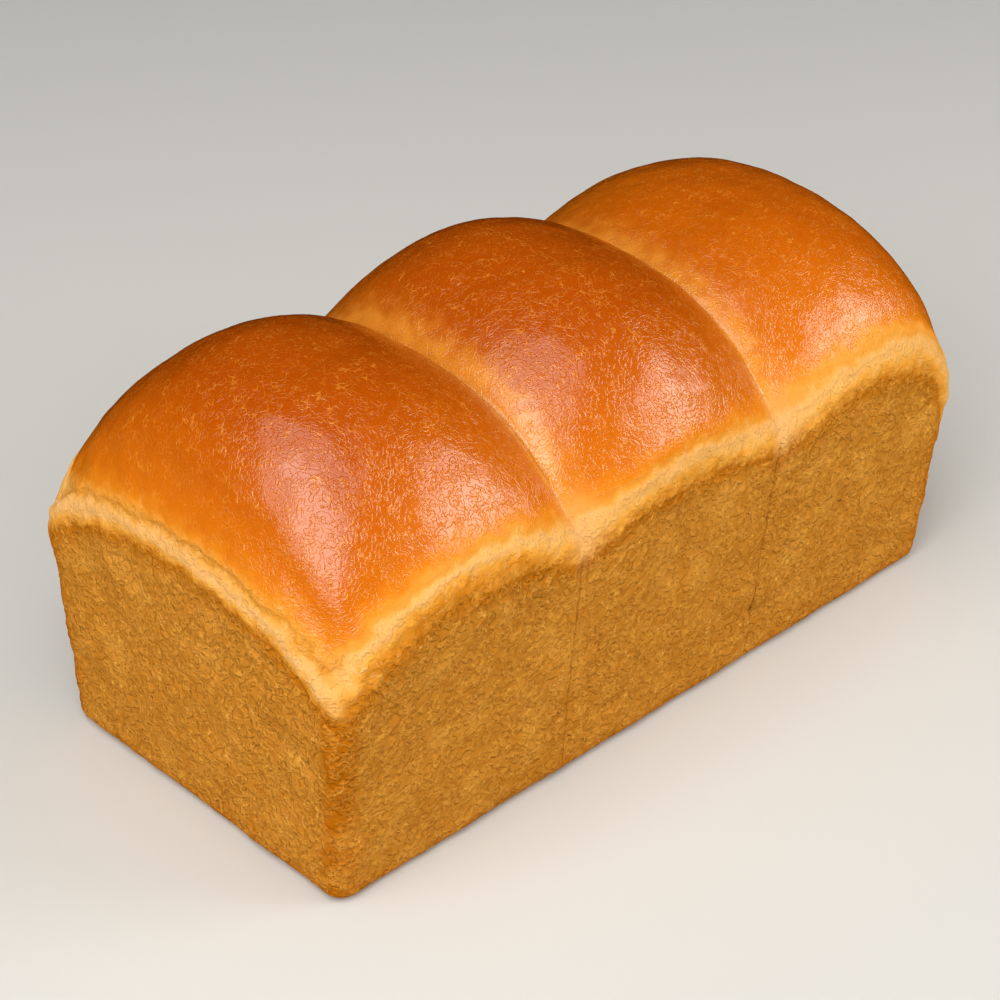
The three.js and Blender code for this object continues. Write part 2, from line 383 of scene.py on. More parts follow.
@dataclass(frozen=True)
class LoafForm:
    """The whole loaf: tin block and crown in a smooth overlap, with lip, hollow and seams.

    A lead is how much further a point is from the crown than from the tin. It is nought on the
    shoulder, positive above it and negative below it.
    """

    tin: TinBlock = TinBlock()
    crown: Crown = Crown()
    shoulder_blend: float = 4.7
    end_folds: tuple[Fold, ...] = (Fold(1.1, 0.6, 1.7), Fold(-0.7, 5.0, 2.2))
    side_folds: tuple[Fold, ...] = (Fold(0.7, 1.2, 2.6), Fold(-0.25, 6.5, 2.2))
    corner_band: float = 6.0
    seam_depth: float = 0.6
    seam_spread: float = 1.1
    seam_fade: float = 8.0

    def lead(self, x: Array, y: Array, z: Array) -> Array:
        """Lead of points."""
        return self.crown.distance(x, y, z) - self.tin.distance(x, y, z)

    def crease_offset(self, x: Array, z: Array) -> Array:
        """Place of points along the loaf, counted from the nearer crease."""
        first, second = [x - place for place in self.crown.crease_places(z)]
        return np.where(np.abs(first) < np.abs(second), first, second)

    def side_share(self, x: Array, y: Array, z: Array) -> Array:
        """How far points lie towards the long sides: nought at the ends, one along the sides."""
        half_x, half_y = self.tin.half_size(z)
        return smoothstep(-self.corner_band, self.corner_band, (half_x - np.abs(x)) - (half_y - np.abs(y)))

    @staticmethod
    def fold_height(folds: tuple[Fold, ...], lead: Array) -> Array:
        """Height that folds add at leads."""
        return sum(fold.height * bell(lead - fold.lead, fold.spread) for fold in folds)

    def distance(self, x: Array, y: Array, z: Array) -> Array:
        """Signed distance of points from the loaf.

        Args:
            x: Places along the loaf.
            y: Places across it.
            z: Heights.

        Returns:
            One distance for each point, negative inside.
        """
        tin = self.tin.distance(x, y, z)
        lead = self.crown.distance(x, y, z) - tin
        share = np.clip(0.5 + 0.5 * lead / self.shoulder_blend, 0.0, 1.0)
        body = tin + lead * share + self.shoulder_blend * share * (1.0 - share)
        at_end = self.fold_height(self.end_folds, lead)
        at_side = self.fold_height(self.side_folds, lead)
        relief = mix(at_end, at_side, self.side_share(x, y, z))
        seam = self.seam_depth * bell(self.crease_offset(x, z), self.seam_spread)
        return body - relief + seam * smoothstep(0.0, self.seam_fade, z) * (1.0 - share)


class Mask(Enum):
    """A value stored on each point of the crust."""

    RISE = "rise"            # height over the shoulder, in millimetres
    CREASE = "crease"        # place along the loaf, from the nearer crease, in millimetres
    WALL = "wall"            # 1 on the walls that the tin baked, 0 on the crown
    SIDE = "side"            # 1 towards the long sides, 0 towards the ends
    EDGE = "edge"            # 1 on the tin's browned edges
    STANDING = "standing"    # 0 on the flat base that the loaf stands on, 1 above it
    RAGGED = "ragged"        # rise with a wobble, for ragged bands

    def write(self, mesh: bpy.types.Mesh, values: Array) -> None:
        """Stores the value of every point.

        Args:
            mesh: The mesh that is given the values.
            values: One number for each of its points.
        """
        attribute = mesh.attributes.get(self.value) or mesh.attributes.new(self.value, "FLOAT", "POINT")
        attribute.data.foreach_set("value", np.ascontiguousarray(values, dtype=np.float32))

    def read(self, mesh: bpy.types.Mesh) -> Array:
        """Reads the value of every point.

        Args:
            mesh: The mesh that has the values.

        Returns:
            One number for each of its points.
        """
        values = np.empty(len(mesh.vertices), np.float32)
        mesh.attributes[self.value].data.foreach_get("value", values)
        return values.astype(float)


@dataclass(frozen=True)
class CrustLattice:
    """The lattice of points cast from a core line on to the loaf's form.

    The top is a grid of columns along the loaf and rows across it, whose columns meet the
    creases. Rings follow the shoulder below and above it, down to the flat base.
    """

    form: LoafForm = LoafForm()
    columns: tuple[int, ...] = (80, 70, 75)
    rows: int = 110
    core_height: float = 40.0
    core_inset: float = 45.0
    rim_rise: float = 35.0
    base_rings: int = 5
    wall_rings: int = 66
    flank_rings: int = 38
    ring_crowding: float = 0.45
    shoulder_range: Span = (30.0, 85.0)
    cast_range: Span = (5.0, 150.0)

    def place_between(self, knots: list[Array], column: Array) -> Array:
        """Place of columns along the loaf.

        Args:
            knots: Places of the near end, the creases and the far end.
            column: Columns, which may be fractions.

        Returns:
            One place for each column, evenly spread between two knots.
        """
        starts = np.concatenate([[0], np.cumsum(self.columns)])
        hump = np.clip(np.searchsorted(starts, column, side="right") - 1, 0, len(self.columns) - 1)
        share = (column - starts[hump]) / np.asarray(self.columns)[hump]
        spread = [np.broadcast_to(knot, column.shape) for knot in knots]
        return mix(np.choose(hump, spread[:-1]), np.choose(hump, spread[1:]), share)

    def grid_place(self, column: Array, row: Array, z: Array, inset: float = 0.0) -> tuple[Array, Array]:
        """Places in the tin's round-cornered outline.

        Args:
            column: Columns of the places, which may be fractions.
            row: Rows of the places.
            z: Heights of the places.
            inset: Distance by which the outline is drawn in.

        Returns:
            The places along and across the loaf.
        """
        radius = self.form.tin.upright_radius
        half_x, half_y = self.form.tin.half_size(z)
        x = self.place_between([-half_x, *self.form.crown.crease_places(z), half_x], column)
        y = mix(-half_y, half_y, row / self.rows)
        centre_x = np.clip(x, radius - half_x, half_x - radius)
        centre_y = np.clip(y, radius - half_y, half_y - radius)
        arm_x = x - centre_x
        arm_y = y - centre_y
        reach = np.maximum(np.abs(arm_x), np.abs(arm_y))
        stretch = reach * (1.0 - inset / radius) / np.maximum(np.hypot(arm_x, arm_y), TINY)
        return centre_x + arm_x * stretch, centre_y + arm_y * stretch

    def shoulder_height(self, column: Array, row: Array) -> Array:
        """Height of the shoulder above places on the edge of the grid.

        Args:
            column: Columns of the places.
            row: Rows of the places.

        Returns:
            One height for each place.
        """
        def measure(z: Array) -> Array:
            """Distance from the crown at trial heights."""
            x, y = self.grid_place(column, row, z)
            return self.form.crown.distance(x, y, z)

        low, high = self.shoulder_range
        return find_zero(np.full(column.shape, low), np.full(column.shape, high), measure)

    def cast(self, column: Array, x: Array, y: Array, z: Array) -> Array:
        """Points where rays from the core line through the targets meet the crust.

        Args:
            column: Columns of the targets, which place their rays' starts on the core line.
            x: Targets' places along the loaf.
            y: Targets' places across it.
            z: Targets' heights.

        Returns:
            One row of coordinates for each target.
        """
        core_half = self.form.tin.half_size(self.core_height)[0] - self.core_inset
        knots = [-core_half, *self.form.crown.crease_places(self.core_height), core_half]
        start_x = self.place_between([np.asarray(knot) for knot in knots], column)
        start = np.stack([start_x, np.zeros(x.shape), np.full(x.shape, self.core_height)], axis=-1)
        arm = np.stack([x, y, z], axis=-1) - start
        arm /= np.linalg.norm(arm, axis=-1, keepdims=True)

        def measure(reach: Array) -> Array:
            """Distance from the loaf at trial reaches along the rays."""
            return self.form.distance(*np.moveaxis(start + arm * reach[..., None], -1, 0))

        low, high = self.cast_range
        reach = find_zero(np.full(x.shape, low), np.full(x.shape, high), measure)
        return start + arm * reach[..., None]

    def edge_steps(self) -> tuple[Array, Array]:
        """Steps round the grid's edge, anticlockwise seen from above.

        Returns:
            The columns and the rows of the steps.
        """
        across = np.arange(self.rows)
        along = np.arange(sum(self.columns))
        last = sum(self.columns)
        column = [along, np.full(self.rows, last), last - along, np.zeros(self.rows, int)]
        row = [np.zeros(last, int), across, np.full(last, self.rows), self.rows - across]
        return np.concatenate(column), np.concatenate(row)

    def ring_shares(self, count: int, crowd_at_end: bool) -> Array:
        """Shares from 0 to 1 for a run of rings.

        Args:
            count: Number of gaps between the rings.
            crowd_at_end: Whether the rings crowd towards the end, and not the start.

        Returns:
            One share for each ring.
        """
        even = np.arange(count + 1) / count
        eased = np.sin(even * math.pi / 2.0) if crowd_at_end else 1.0 - np.cos(even * math.pi / 2.0)
        return mix(even, eased, self.ring_crowding)

    def top_points(self) -> tuple[Array, Array]:
        """The crown's points, column by column, out to the rim that stands over the shoulder.

        Returns:
            The points, and the height of the nearer part of the shoulder.
        """
        last = sum(self.columns)
        column, row = np.meshgrid(np.arange(last + 1), np.arange(self.rows + 1), indexing="ij")
        side = self.shoulder_height(np.arange(last + 1), np.zeros(last + 1, int))
        rows = np.arange(self.rows + 1)
        left = self.shoulder_height(np.zeros(self.rows + 1, int), rows)
        right = self.shoulder_height(np.full(self.rows + 1, last), rows)
        ends = mix((left - left[0])[None, :], (right - right[0])[None, :], column / last)
        z = side[:, None] + ends + self.rim_rise
        x, y = self.grid_place(column, row, z)
        points = self.cast(column, x, y, z)
        side_share = self.form.side_share(*np.moveaxis(points, -1, 0))
        nearer_end = np.where(column * 2 < last, left[None, :], right[None, :])
        return points, mix(nearer_end, side[:, None], side_share)

    def ring_points(self) -> tuple[Array, Array]:
        """The rings' points from the base's outline up to the ring below the rim.

        Returns:
            The points, and the height of the shoulder that each belongs to.
        """
        column, row = self.edge_steps()
        shoulder = self.shoulder_height(column, row)
        radius = self.form.tin.base_radius
        base = mix(0.0, radius, np.arange(1, self.base_rings) / self.base_rings)
        heights = [np.full(shoulder.shape, height) for height in base]
        wall = self.ring_shares(self.wall_rings, True)[:-1]
        heights += [mix(radius, shoulder, share) for share in wall]
        flank = self.ring_shares(self.flank_rings, False)[:-1]
        heights += [shoulder + self.rim_rise * share for share in flank]
        z = np.stack(heights)
        columns = np.broadcast_to(column, z.shape)
        x, y = self.grid_place(columns, np.broadcast_to(row, z.shape), z)
        foot_x, foot_y = self.grid_place(column, row, np.zeros(column.shape), radius)
        outline = np.stack([foot_x, foot_y, np.zeros(column.shape)], axis=-1)
        points = np.concatenate([outline[None], self.cast(columns, x, y, z)])
        return points, np.broadcast_to(shoulder, points.shape[:2])

    @staticmethod
    def quads_between(index: Array) -> Array:
        """Quads between the rows and columns of a table of vertex numbers."""
        corners = [index[:-1, :-1], index[:-1, 1:], index[1:, 1:], index[1:, :-1]]
        return np.stack(corners, axis=-1).reshape(-1, 4)

    def build(self, name: str) -> bpy.types.Mesh:
        """Makes the closed mesh, in metres, with its rises stored.

        Args:
            name: Name of the mesh.

        Returns:
            The mesh, with its faces pointing outwards.
        """
        top, top_shoulder = self.top_points()
        rings, ring_shoulder = self.ring_points()
        top_count = top.shape[0] * top.shape[1]
        top_index = np.arange(top_count).reshape(top.shape[:2])
        ring_index = top_count + np.arange(rings.shape[0] * rings.shape[1]).reshape(rings.shape[:2])
        column, row = self.edge_steps()
        ladder = np.concatenate([ring_index, top_index[column, row][None]])
        ladder = np.concatenate([ladder, ladder[:, :1]], axis=1)
        quads = [self.quads_between(top_index.T), self.quads_between(ladder)]
        centre = top_count + ring_index.size
        foot = ladder[0]
        fan = np.stack([np.full(len(foot) - 1, centre), foot[1:], foot[:-1]], axis=-1)
        points = np.concatenate([top.reshape(-1, 3), rings.reshape(-1, 3), np.zeros((1, 3))])
        shoulder = np.concatenate([top_shoulder.ravel(), ring_shoulder.ravel(), [ring_shoulder.mean()]])
        mesh = bpy.data.meshes.new(name)
        faces = np.concatenate(quads).tolist() + fan.tolist()
        mesh.from_pydata((points * MM).tolist(), [], faces)
        mesh.update()
        Mask.RISE.write(mesh, points[:, 2] - shoulder)
        return mesh


@dataclass(frozen=True)
class CrustMasks:
    """Writes the masks that the relief and the finish read."""

    form: LoafForm = LoafForm()
    wall_leads: Span = (-1.6, 0.4)
    foot_heights: Span = (0.2, 4.0)
    edge_inset: float = 3.0
    edge_spread: float = 3.0
    foot_spread: float = 3.2
    corner_reach: float = 18.0
    corner_pallor: float = 0.62

    def write(self, mesh: bpy.types.Mesh) -> None:
        """Stores each mask on the mesh, and lessens the rises at the corners, which stay paler.

        Args:
            mesh: The crust's mesh, in metres.
        """
        flat = np.empty(len(mesh.vertices) * 3, np.float32)
        mesh.vertices.foreach_get("co", flat)
        x, y, z = (flat.reshape(-1, 3) / MM).T.astype(float)
        half_x, half_y = self.form.tin.half_size(z)
        from_corner = np.hypot(half_x - np.abs(x), half_y - np.abs(y))
        wall = 1.0 - smoothstep(*self.wall_leads, self.form.lead(x, y, z))
        browned = np.maximum(bell(from_corner - self.edge_inset, self.edge_spread), bell(z, self.foot_spread))
        rise = Mask.RISE.read(mesh)
        pallor = self.corner_pallor * bell(from_corner, self.corner_reach)
        Mask.RISE.write(mesh, np.where(rise > 0.0, rise * (1.0 - pallor), rise))
        Mask.WALL.write(mesh, wall)
        Mask.SIDE.write(mesh, self.form.side_share(x, y, z))
        Mask.EDGE.write(mesh, wall * browned)
        Mask.CREASE.write(mesh, self.form.crease_offset(x, z))
        Mask.STANDING.write(mesh, smoothstep(*self.foot_heights, z))


@dataclass
class Wiring:
    """Adds nodes to a shader tree or a geometry tree. A value or a socket may feed an input."""

    tree: bpy.types.NodeTree
    seed_shift: Triple = (13.1, 22.7, 31.3)
    noise_middle: float = 0.5
    wave_gain: float = 3.0

    def node(self, kind: str, feeds: dict[str, object] | None = None, **settings: object) -> bpy.types.Node:
        """Adds a node.

        Args:
            kind: Type name of the node.
            feeds: Values or output sockets for its inputs, by the inputs' names.
            settings: Values for the node's own properties.

        Returns:
            The node.
        """
        added = self.tree.nodes.new(kind)
        for name, value in settings.items():
            setattr(added, name, value)
        for name, value in (feeds or {}).items():
            self.feed(added.inputs[name], value)
        return added

    def feed(self, socket: Socket, value: object) -> None:
        """Gives an input socket a value, or links it to an output socket.

        Args:
            socket: The input socket.
            value: The value or the output socket.
        """
        if isinstance(value, Socket):
            self.tree.links.new(value, socket)
        else:
            socket.default_value = value

    def feed_in_order(self, node: bpy.types.Node, *values: object) -> Socket:
        """Feeds a node's first inputs.

        Args:
            node: The node.
            values: Values or output sockets for its first inputs, in order.

        Returns:
            The node's first output.
        """
        for socket, value in zip(node.inputs, values):
            self.feed(socket, value)
        return node.outputs[0]

    def maths(self, operation: str, *values: Feed) -> Socket:
        """Result of one operation on numbers."""
        return self.feed_in_order(self.node("ShaderNodeMath", operation=operation), *values)

    def add(self, *values: Feed) -> Socket:
        """Sum of several numbers.

        Args:
            values: The numbers.

        Returns:
            Their sum.
        """
        total = values[0]
        for value in values[1:]:
            total = self.maths("ADD", total, value)
        return total

    def times(self, *values: Feed) -> Socket:
        """Product of several numbers.

        Args:
            values: The numbers.

        Returns:
            Their product.
        """
        total = values[0]
        for value in values[1:]:
            total = self.maths("MULTIPLY", total, value)
        return total

    def less(self, first: Feed, second: Feed) -> Socket:
        """First number less the second."""
        return self.maths("SUBTRACT", first, second)

    def flip(self, value: Feed) -> Socket:
        """One less the number."""
        return self.maths("SUBTRACT", 1.0, value)

    def lopsided(self, value: Feed, factor: float) -> Socket:
        """Number as it is above nought, and turned over and magnified by a factor below it."""
        return self.maths("MAXIMUM", value, self.times(value, -factor))

    def bell(self, value: Feed, centre: Feed, spread: Feed) -> Socket:
        """Bell curve of a number about a centre."""
        offset = self.maths("DIVIDE", self.less(value, centre), spread)
        return self.maths("EXPONENT", self.times(offset, offset, -1.0))

    def step(self, value: Feed, start: Feed, end: Feed) -> Socket:
        """Soft step of a number from 0 at start to 1 at end."""
        feeds = {"Value": value, "From Min": start, "From Max": end}
        return self.node("ShaderNodeMapRange", feeds, interpolation_type="SMOOTHSTEP").outputs[0]

    def mask(self, mask: Mask) -> Socket:
        """Reads a mask of the crust.

        Args:
            mask: The mask.

        Returns:
            Its value.
        """
        if self.tree.type == "GEOMETRY":
            return self.node("GeometryNodeInputNamedAttribute", {"Name": mask.value}).outputs[0]
        return self.node("ShaderNodeAttribute", attribute_name=mask.value).outputs["Fac"]

    def place(self) -> Socket:
        """Reads the place on the crust.

        Returns:
            The place in millimetres.
        """
        if self.tree.type == "GEOMETRY":
            metres = self.node("GeometryNodeInputPosition").outputs[0]
        else:
            metres = self.node("ShaderNodeTexCoord").outputs["Object"]
        scaled = self.node("ShaderNodeVectorMath", operation="MULTIPLY")
        return self.feed_in_order(scaled, metres, (1.0 / MM,) * 3)

    def noise(self, size: Feed, seed: Feed, detail: float = 0.0) -> Socket:
        """Noise about 0.5.

        Args:
            size: Size of its features in millimetres.
            seed: Number that picks one noise of many.
            detail: How many finer layers it has.

        Returns:
            The noise.
        """
        shift = self.node("ShaderNodeVectorMath", {"Scale": seed}, operation="SCALE")
        shifted = self.feed_in_order(shift, self.seed_shift)
        moved = self.feed_in_order(self.node("ShaderNodeVectorMath", operation="ADD"), self.place(), shifted)
        feeds = {"Vector": moved, "Scale": self.maths("DIVIDE", 1.0, size), "Detail": detail}
        return self.node("ShaderNodeTexNoise", feeds).outputs[0]

    def wave(self, noise: Socket) -> Socket:
        """Noise spread out to about -1 to 1."""
        return self.times(self.less(noise, self.noise_middle), self.wave_gain)

    def hills(self, noise: Socket, width: float) -> Socket:
        """Rounded hills with sharp gaps between them.

        Args:
            noise: The noise, whose middle value is the gap.
            width: How far from the middle value a hill is full.

        Returns:
            Nought in a gap, one on a hill.
        """
        away = self.maths("ABSOLUTE", self.less(noise, self.noise_middle))
        share = self.maths("MINIMUM", self.maths("DIVIDE", away, width), 1.0)
        return self.times(share, self.less(2.0, share))

    def lines(self, noise: Socket, width: float) -> Socket:
        """Thin lines along the middle value of a noise, 1 on the line."""
        away = self.maths("ABSOLUTE", self.less(noise, self.noise_middle))
        return self.step(away, width, 0.0)

    def blend(self, share: Feed, first: Socket, second: Colour) -> Socket:
        """Colour mixed with another.

        Args:
            share: Share of the second colour.
            first: The colour that is painted over.
            second: The colour that is laid on.

        Returns:
            The mix.
        """
        added = self.node("ShaderNodeMix", data_type="RGBA")
        factor, colours = added.inputs[0], [each for each in added.inputs if each.type == "RGBA"]
        for socket, value in zip((factor, *colours), (share, first, second)):
            self.feed(socket, value)
        return next(each for each in added.outputs if each.type == "RGBA")


class ReliefNoise(Enum):
    """A noise of the relief: the input that sizes it, its number and its detail."""

    PEBBLE = ("pebble_size", 1.0, 1.0)
    PATCH = ("patch_size", 2.0, 0.0)
    SWELL = ("swell_size", 3.0, 1.0)
    CRACK = ("crack_size", 4.0, 2.0)
    CRACKED = ("cracked_size", 5.0, 0.0)
    WOBBLE = ("wobble_size", 6.0, 0.0)
    FINE_WOBBLE = ("fine_wobble_size", 7.0, 0.0)
    LUMP = ("lump_size", 8.0, 0.0)
    BREAK = ("break_size", 9.0, 0.0)
    SKIN = ("skin_size", 10.0, 1.0)

    def build(self, w: Wiring, inputs: dict[str, Socket]) -> Socket:
        """Noise about 0.5, of the size and the seed that the inputs give."""
        size, number, detail = self.value
        return w.noise(inputs[size], w.add(inputs["seed"], number), detail)


@dataclass(frozen=True)
class ReliefSizes:
    """Sizes and heights of the relief in millimetres, each an input of its geometry tree."""

    pebble_size: float = 3.2
    pebble_height: float = 0.55
    patch_size: float = 24.0
    swell_size: float = 13.0
    swell_height: float = 0.75
    crack_size: float = 20.0
    crack_depth: float = 0.55
    cracked_size: float = 30.0
    wobble_size: float = 5.0
    wobble_height: float = 1.0
    fine_wobble_size: float = 2.1
    fine_wobble_height: float = 0.8
    lump_size: float = 3.0
    lump_height: float = 0.5
    hem_height: float = 0.3
    break_size: float = 13.0
    crest_height: float = 0.45
    furrow_depth: float = 0.8
    skin_size: float = 9.0
    skin_height: float = 0.25
    seed: float = 3.0


@dataclass(frozen=True)
class CrustRelief:
    """Relief of the crust that is raised in the mesh.

    The tin leaves the walls in soft pebbles with a few cracks. The lip round the shoulder is
    lumpy and ragged, with a furrow over it at the ends and a thin crest along the sides. A
    band is a rise over the shoulder and a spread, in millimetres.
    """

    sizes: ReliefSizes = ReliefSizes()
    pebble_width: float = 0.13
    pebble_level: float = 0.7
    patch_waves: Span = (-0.7, 0.9)
    smooth_patch: float = 0.6
    pebbled_patch: float = 0.8
    crack_width: float = 0.03
    cracked_waves: Span = (0.0, 0.5)
    lump_band: Span = (0.5, 2.8)
    hem_foot: Span = (-4.4, -2.6)
    hem_top: Span = (4.0, 1.0)
    broken_waves: Span = (-0.7, 0.5)
    crest_band: Span = (4.4, 0.8)
    furrow_rise: float = 3.4
    furrow_rise_at_side: float = 2.4
    furrow_spread: float = 0.9
    side_calm: float = 0.6

    def ragged_rise(self, w: Wiring, inputs: dict[str, Socket]) -> Socket:
        """Height over the shoulder with a wobble.

        Args:
            w: The tree's wiring.
            inputs: The tree's inputs.

        Returns:
            The height in millimetres.
        """
        coarse = w.times(w.wave(ReliefNoise.WOBBLE.build(w, inputs)), inputs["wobble_height"])
        fine = w.times(w.wave(ReliefNoise.FINE_WOBBLE.build(w, inputs)), inputs["fine_wobble_height"])
        return w.add(w.mask(Mask.RISE), coarse, fine)

    def wall_height(self, w: Wiring, inputs: dict[str, Socket]) -> Socket:
        """Height of the pebbles, swells and cracks of the walls.

        Args:
            w: The tree's wiring.
            inputs: The tree's inputs.

        Returns:
            The height in millimetres.
        """
        clump = w.hills(ReliefNoise.PEBBLE.build(w, inputs), self.pebble_width)
        patch = w.step(w.wave(ReliefNoise.PATCH.build(w, inputs)), *self.patch_waves)
        strength = w.add(self.smooth_patch, w.times(self.pebbled_patch, patch))
        pebbles = w.times(w.less(clump, self.pebble_level), inputs["pebble_height"], strength)
        swells = w.times(w.wave(ReliefNoise.SWELL.build(w, inputs)), inputs["swell_height"])
        line = w.lines(ReliefNoise.CRACK.build(w, inputs), self.crack_width)
        cracked = w.step(w.wave(ReliefNoise.CRACKED.build(w, inputs)), *self.cracked_waves)
        return w.less(w.add(pebbles, swells), w.times(line, cracked, inputs["crack_depth"]))

    def lip_height(self, w: Wiring, inputs: dict[str, Socket]) -> Socket:
        """Height of the lip's lumps, its hem, and the crest and the furrow over it.

        Args:
            w: The tree's wiring.
            inputs: The tree's inputs.

        Returns:
            The height in millimetres.
        """
        rise = w.mask(Mask.RISE)
        side = w.mask(Mask.SIDE)
        ragged = w.mask(Mask.RAGGED)
        calm = w.flip(w.times(side, self.side_calm))
        lumps = w.times(w.wave(ReliefNoise.LUMP.build(w, inputs)), inputs["lump_height"])
        lumps = w.times(lumps, w.bell(rise, *self.lump_band))
        hem = w.times(w.step(ragged, *self.hem_foot), w.step(rise, *self.hem_top), inputs["hem_height"], calm)
        broken = w.step(w.wave(ReliefNoise.BREAK.build(w, inputs)), *self.broken_waves)
        crest = w.times(w.bell(ragged, *self.crest_band), broken, side, inputs["crest_height"])
        furrow_rise = w.add(self.furrow_rise, w.times(side, self.furrow_rise_at_side))
        furrow = w.times(w.bell(ragged, furrow_rise, self.furrow_spread), inputs["furrow_depth"], calm)
        return w.less(w.add(lumps, hem, crest), furrow)

    def tree(self) -> bpy.types.NodeTree:
        """Makes the geometry tree, with an input for each size.

        Returns:
            The tree, which raises the relief and gives the mesh its finish.
        """
        tree = bpy.data.node_groups.new("crust_relief", "GeometryNodeTree")
        tree.interface.new_socket("Geometry", in_out="INPUT", socket_type="NodeSocketGeometry")
        for size in fields(self.sizes):
            tree.interface.new_socket(size.name, in_out="INPUT", socket_type="NodeSocketFloat")
        tree.interface.new_socket("crust", in_out="INPUT", socket_type="NodeSocketMaterial")
        tree.interface.new_socket("Geometry", in_out="OUTPUT", socket_type="NodeSocketGeometry")
        w = Wiring(tree)
        outputs = w.node("NodeGroupInput").outputs
        inputs = {size.name: outputs[size.name] for size in fields(self.sizes)}
        ragged = self.ragged_rise(w, inputs)
        feeds = {"Geometry": outputs["Geometry"], "Name": Mask.RAGGED.value, "Value": ragged}
        masked = w.node("GeometryNodeStoreNamedAttribute", feeds).outputs[0]
        wall = w.mask(Mask.WALL)
        on_wall = w.times(wall, self.wall_height(w, inputs))
        skin = w.wave(ReliefNoise.SKIN.build(w, inputs))
        on_skin = w.times(w.flip(wall), skin, inputs["skin_height"])
        height = w.times(w.add(on_wall, self.lip_height(w, inputs), on_skin), w.mask(Mask.STANDING), MM)
        scale = w.node("ShaderNodeVectorMath", {"Scale": height}, operation="SCALE")
        offset = w.feed_in_order(scale, w.node("GeometryNodeInputNormal").outputs[0])
        raised = w.node("GeometryNodeSetPosition", {"Geometry": masked, "Offset": offset})
        real = w.node("GeometryNodeRealizeInstances", {"Geometry": raised.outputs[0]})
        feeds = {"Geometry": real.outputs[0], "Material": outputs["crust"]}
        dressed = w.node("GeometryNodeSetMaterial", feeds)
        w.node("NodeGroupOutput", {"Geometry": dressed.outputs[0]})
        return tree

    def raise_on(self, mesh: bpy.types.Mesh, name: str, crust: bpy.types.Material) -> bpy.types.Object:
        """Raises the relief on a smooth crust.

        Args:
            mesh: The smooth crust, with its masks.
            name: Name of the finished piece.
            crust: The crust's finish.

        Returns:
            An object with a plain mesh.
        """
        smooth = place_object(name + "_smooth", mesh)
        modifier = smooth.modifiers.new("relief", "NODES")
        modifier.node_group = self.tree()
        values = {size.name: getattr(self.sizes, size.name) for size in fields(self.sizes)}
        values["crust"] = crust
        for item in modifier.node_group.interface.items_tree:
            if item.in_out == "INPUT" and item.name in values:
                modifier[item.identifier] = values[item.name]
        graph = bpy.context.evaluated_depsgraph_get()
        raised = bpy.data.meshes.new_from_object(
            smooth.evaluated_get(graph), preserve_all_data_layers=True, depsgraph=graph
        )
        bpy.data.objects.remove(smooth)
        raised.name = name
        raised.shade_smooth()
        return place_object(name, raised)


@dataclass(frozen=True)
class Tone:
    """Colour of the crust at a height over the shoulder in millimetres."""

    rise: float
    red: float
    green: float
    blue: float


@dataclass(frozen=True)
class Grain:
    """A noise of the finish: the size of its features in millimetres, its number and its detail."""

    size: float
    number: float
    detail: float = 0.0
    seed: float = 11.0

    def noise(self, w: Wiring) -> Socket:
        """Noise of the grain, about 0.5."""
        return w.noise(self.size, self.seed + self.number, self.detail)


@dataclass(frozen=True)
class Fibres:
    """Fine curling lines: their noise and width, and the noise and values where they lie."""

    line: Grain
    width: float
    patch: Grain
    patch_values: Span

    def lines(self, w: Wiring) -> Socket:
        """The lines, 1 on a line."""
        everywhere = w.lines(self.line.noise(w), self.width)
        return w.times(everywhere, w.step(self.patch.noise(w), *self.patch_values))


